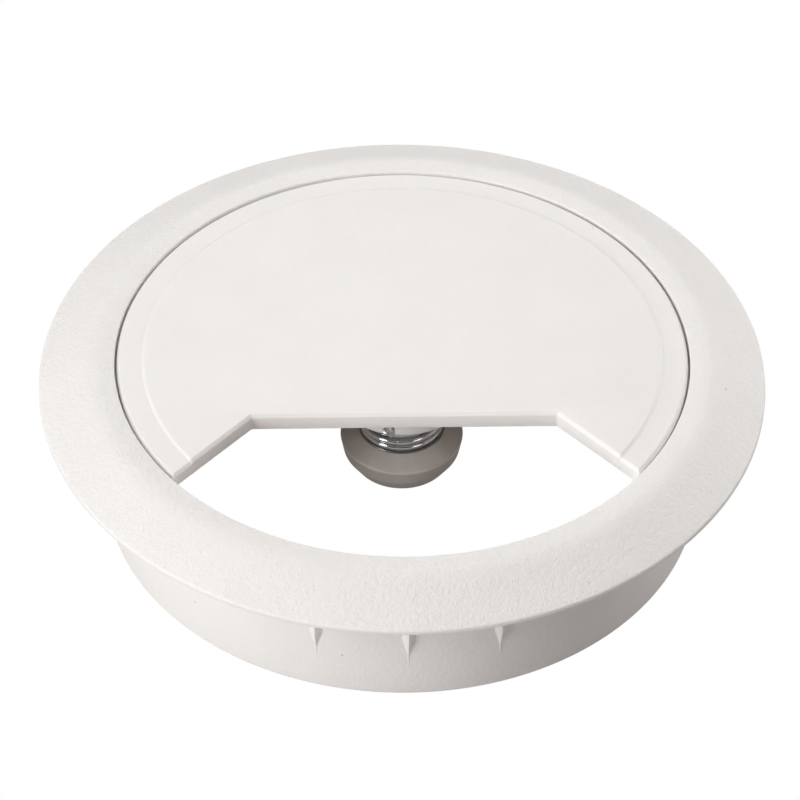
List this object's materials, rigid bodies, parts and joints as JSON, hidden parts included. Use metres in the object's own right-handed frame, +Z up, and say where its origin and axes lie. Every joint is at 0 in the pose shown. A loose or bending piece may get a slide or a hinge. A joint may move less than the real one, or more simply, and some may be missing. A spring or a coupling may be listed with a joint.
{
  "type": "desk grommet",
  "caption": "Round flanged desk grommet with a flush turning cover, a trapezoid cable cut-out and a sprung centre pivot.",
  "frame": {"origin": "on the pivot axis, level with the bottom edge of the sleeve", "axes": "+Z up through the desk towards the cover, -Y from the pivot towards the cable cut-out at rest, +X to the right seen from the cut-out side"},
  "size_m": [0.095, 0.095, 0.0229],
  "materials": {
    "white_plastic": "fine spark-eroded texture",
    "grey_plastic": "satin",
    "chromed_wire": "bright",
    "zinc_steel": "zinc plated"
  },
  "bodies": {
    "liner": {"liner_ring": "white_plastic", "crossbar": "white_plastic", "spring": "chromed_wire"},
    "spring_seat": {"thrust_washer": "zinc_steel"},
    "cover": {"cover_plate": "white_plastic", "knob": "grey_plastic", "screw_washer": "zinc_steel", "knob_screw": "zinc_steel"}
  },
  "joints": [
    {"name": "cover_lift", "type": "slide", "parent": "liner", "child": "spring_seat", "axis": [0, 0, 1], "range_m": [0, 0.0015], "stiffness_N_per_m": 850, "springref_m": -0.0026, "deforming": ["spring"]},
    {"name": "cover_turn", "type": "hinge", "parent": "spring_seat", "child": "cover", "pos_m": [0, 0, 0], "axis": [0, 0, 1], "continuous": true}
  ]
}
